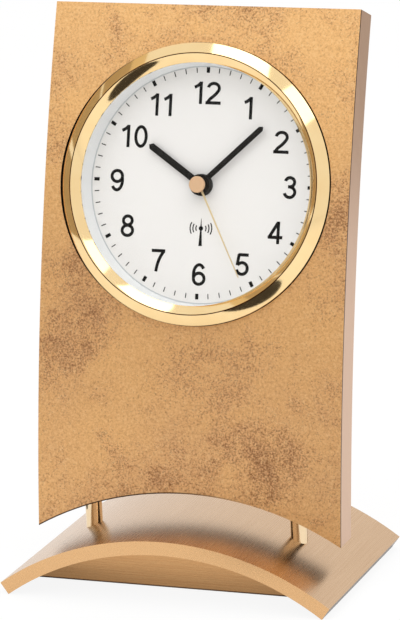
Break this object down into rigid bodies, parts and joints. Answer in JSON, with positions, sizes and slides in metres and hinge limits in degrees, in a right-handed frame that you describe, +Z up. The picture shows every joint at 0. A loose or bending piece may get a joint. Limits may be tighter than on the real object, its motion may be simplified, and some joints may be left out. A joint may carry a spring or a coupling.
{
  "type": "table clock",
  "caption": "Radio-controlled table clock: a leaning curved board with a round glazed dial and battery movement, on two posts over an arched metal foot.",
  "frame": {"origin": "centre of the foot's plan, on the surface that the clock stands on", "axes": "+Z up, -Y towards the viewer in front of the dial, +X to that viewer's right"},
  "size_m": [0.1222, 0.084, 0.2],
  "materials": {
    "champagne_aluminium": "fine brushed, anodised",
    "brown_felt": "pressed felt",
    "polished_brass": "polished and lacquered",
    "patinated_brass": "patinated, mottled brown",
    "foiled_board": "fibre board in satin foil",
    "steel_screws": "zinc plated",
    "mineral_glass": "flat, clear",
    "pale_silicone": "moulded, satin",
    "black_rubber": "matt",
    "white_plastic": "satin",
    "white_dial": "matt white lacquer, printed",
    "black_nut": "turned and blackened",
    "black_hands": "satin black lacquer",
    "rose_gold_hand": "rose gold lacquer",
    "acetal": "natural acetal",
    "steel_arbor": "ground",
    "rotor_magnets": "sintered",
    "soft_iron": "stamped",
    "copper_wire": "enamelled wire",
    "black_plastic": "fine moulded texture",
    "button_plastic": "satin",
    "circuit_laminate": "solder mask",
    "crystal_can": "nickel plated",
    "ferrite": "sintered",
    "battery_label": "plain printed wrap",
    "spring_steel": "nickel plated"
  },
  "bodies": {
    "case": {"foot_arch": "champagne_aluminium", "foot_block": "champagne_aluminium", "base_felt": "brown_felt", "post_left": "polished_brass", "post_right": "polished_brass", "bezel_ring": "polished_brass", "front_sheet": "patinated_brass", "case_board": "foiled_board", "post_screws": "steel_screws", "train_screws": "steel_screws", "circuit_screws": "steel_screws", "lens": "mineral_glass", "lens_gasket": "pale_silicone", "movement_washer": "black_rubber", "dial_ring": "white_plastic", "dial": "white_dial", "bush_nut": "black_nut", "second_coil_bobbin": "acetal", "minute_coil_bobbin": "acetal", "train_plate": "acetal", "second_stator": "soft_iron", "minute_stator": "soft_iron", "second_coil_core": "soft_iron", "minute_coil_core": "soft_iron", "second_coil_winding": "copper_wire", "minute_coil_winding": "copper_wire", "antenna_coil": "copper_wire", "movement_housing": "black_plastic", "movement_cover": "black_plastic", "main_plate": "black_plastic", "control_chip": "black_plastic", "button_switches": "black_plastic", "circuit_board": "circuit_laminate", "quartz_crystal": "crystal_can", "antenna_rod": "ferrite", "battery_spring": "spring_steel", "negative_contact": "spring_steel", "positive_contact": "spring_steel"},
    "second": {"second_arbor": "steel_arbor", "second_wheel": "acetal", "second_hand": "rose_gold_hand", "second_cap": "rose_gold_hand"},
    "minute": {"minute_wheel": "acetal", "minute_hand": "black_hands"},
    "hour": {"hour_wheel": "acetal", "hour_hand": "black_hands"},
    "intermediate": {"intermediate_wheel": "acetal"},
    "third": {"third_wheel": "acetal"},
    "change": {"change_wheel": "acetal"},
    "second_rotor": {"second_rotor_magnet": "rotor_magnets", "second_rotor_pinion": "acetal"},
    "minute_rotor": {"minute_rotor_magnet": "rotor_magnets", "minute_rotor_pinion": "acetal"},
    "cell": {"battery": "battery_label"},
    "set_key": {"set_button": "button_plastic"},
    "receive_key": {"receive_button": "button_plastic"},
    "reset_key": {"reset_button": "button_plastic"}
  },
  "joints": [
    {"name": "second_turn", "type": "hinge", "parent": "case", "child": "second", "pos_m": [0, 0.02643, 0.13484], "axis": [0, 0.9658, -0.2594], "continuous": true},
    {"name": "minute_turn", "type": "hinge", "parent": "case", "child": "minute", "pos_m": [0, 0.02363, 0.13559], "axis": [0, 0.9658, -0.2594], "continuous": true},
    {"name": "hour_turn", "type": "hinge", "parent": "case", "child": "hour", "pos_m": [0, 0.02131, 0.13622], "axis": [0, 0.9658, -0.2594], "continuous": true},
    {"name": "intermediate_turn", "type": "hinge", "parent": "case", "child": "intermediate", "pos_m": [-0.00822, 0.02769, 0.1376], "axis": [0, 0.9658, -0.2594], "continuous": true},
    {"name": "third_turn", "type": "hinge", "parent": "case", "child": "third", "pos_m": [0.00822, 0.02479, 0.13838], "axis": [0, 0.9658, -0.2594], "continuous": true},
    {"name": "change_turn", "type": "hinge", "parent": "case", "child": "change", "pos_m": [0, 0.02364, 0.1418], "axis": [0, 0.9658, -0.2594], "continuous": true},
    {"name": "second_rotor_turn", "type": "hinge", "parent": "case", "child": "second_rotor", "pos_m": [-0.01472, 0.02818, 0.14135], "axis": [0, 0.9658, -0.2594], "continuous": true},
    {"name": "minute_rotor_turn", "type": "hinge", "parent": "case", "child": "minute_rotor", "pos_m": [0.01472, 0.0275, 0.14153], "axis": [0, 0.9658, -0.2594], "continuous": true},
    {"name": "battery_pull", "type": "slide", "parent": "case", "child": "cell", "axis": [0, 0.9658, -0.2594], "range_m": [0, 0.02]},
    {"name": "set_press", "type": "slide", "parent": "case", "child": "set_key", "axis": [0, -0.9658, 0.2594], "range_m": [0, 0.0006], "stiffness_N_per_m": 600},
    {"name": "receive_press", "type": "slide", "parent": "case", "child": "receive_key", "axis": [0, -0.9658, 0.2594], "range_m": [0, 0.0006], "stiffness_N_per_m": 600},
    {"name": "reset_press", "type": "slide", "parent": "case", "child": "reset_key", "axis": [0, -0.9658, 0.2594], "range_m": [0, 0.0006], "stiffness_N_per_m": 600}
  ],
  "couplings": [
    {"joint": "intermediate_turn", "follows": "second_turn", "ratio": -6},
    {"joint": "second_rotor_turn", "follows": "second_turn", "ratio": 30},
    {"joint": "third_turn", "follows": "minute_turn", "ratio": -6},
    {"joint": "minute_rotor_turn", "follows": "minute_turn", "ratio": 30},
    {"joint": "change_turn", "follows": "minute_turn", "ratio": -0.33333},
    {"joint": "hour_turn", "follows": "minute_turn", "ratio": 0.083333}
  ]
}
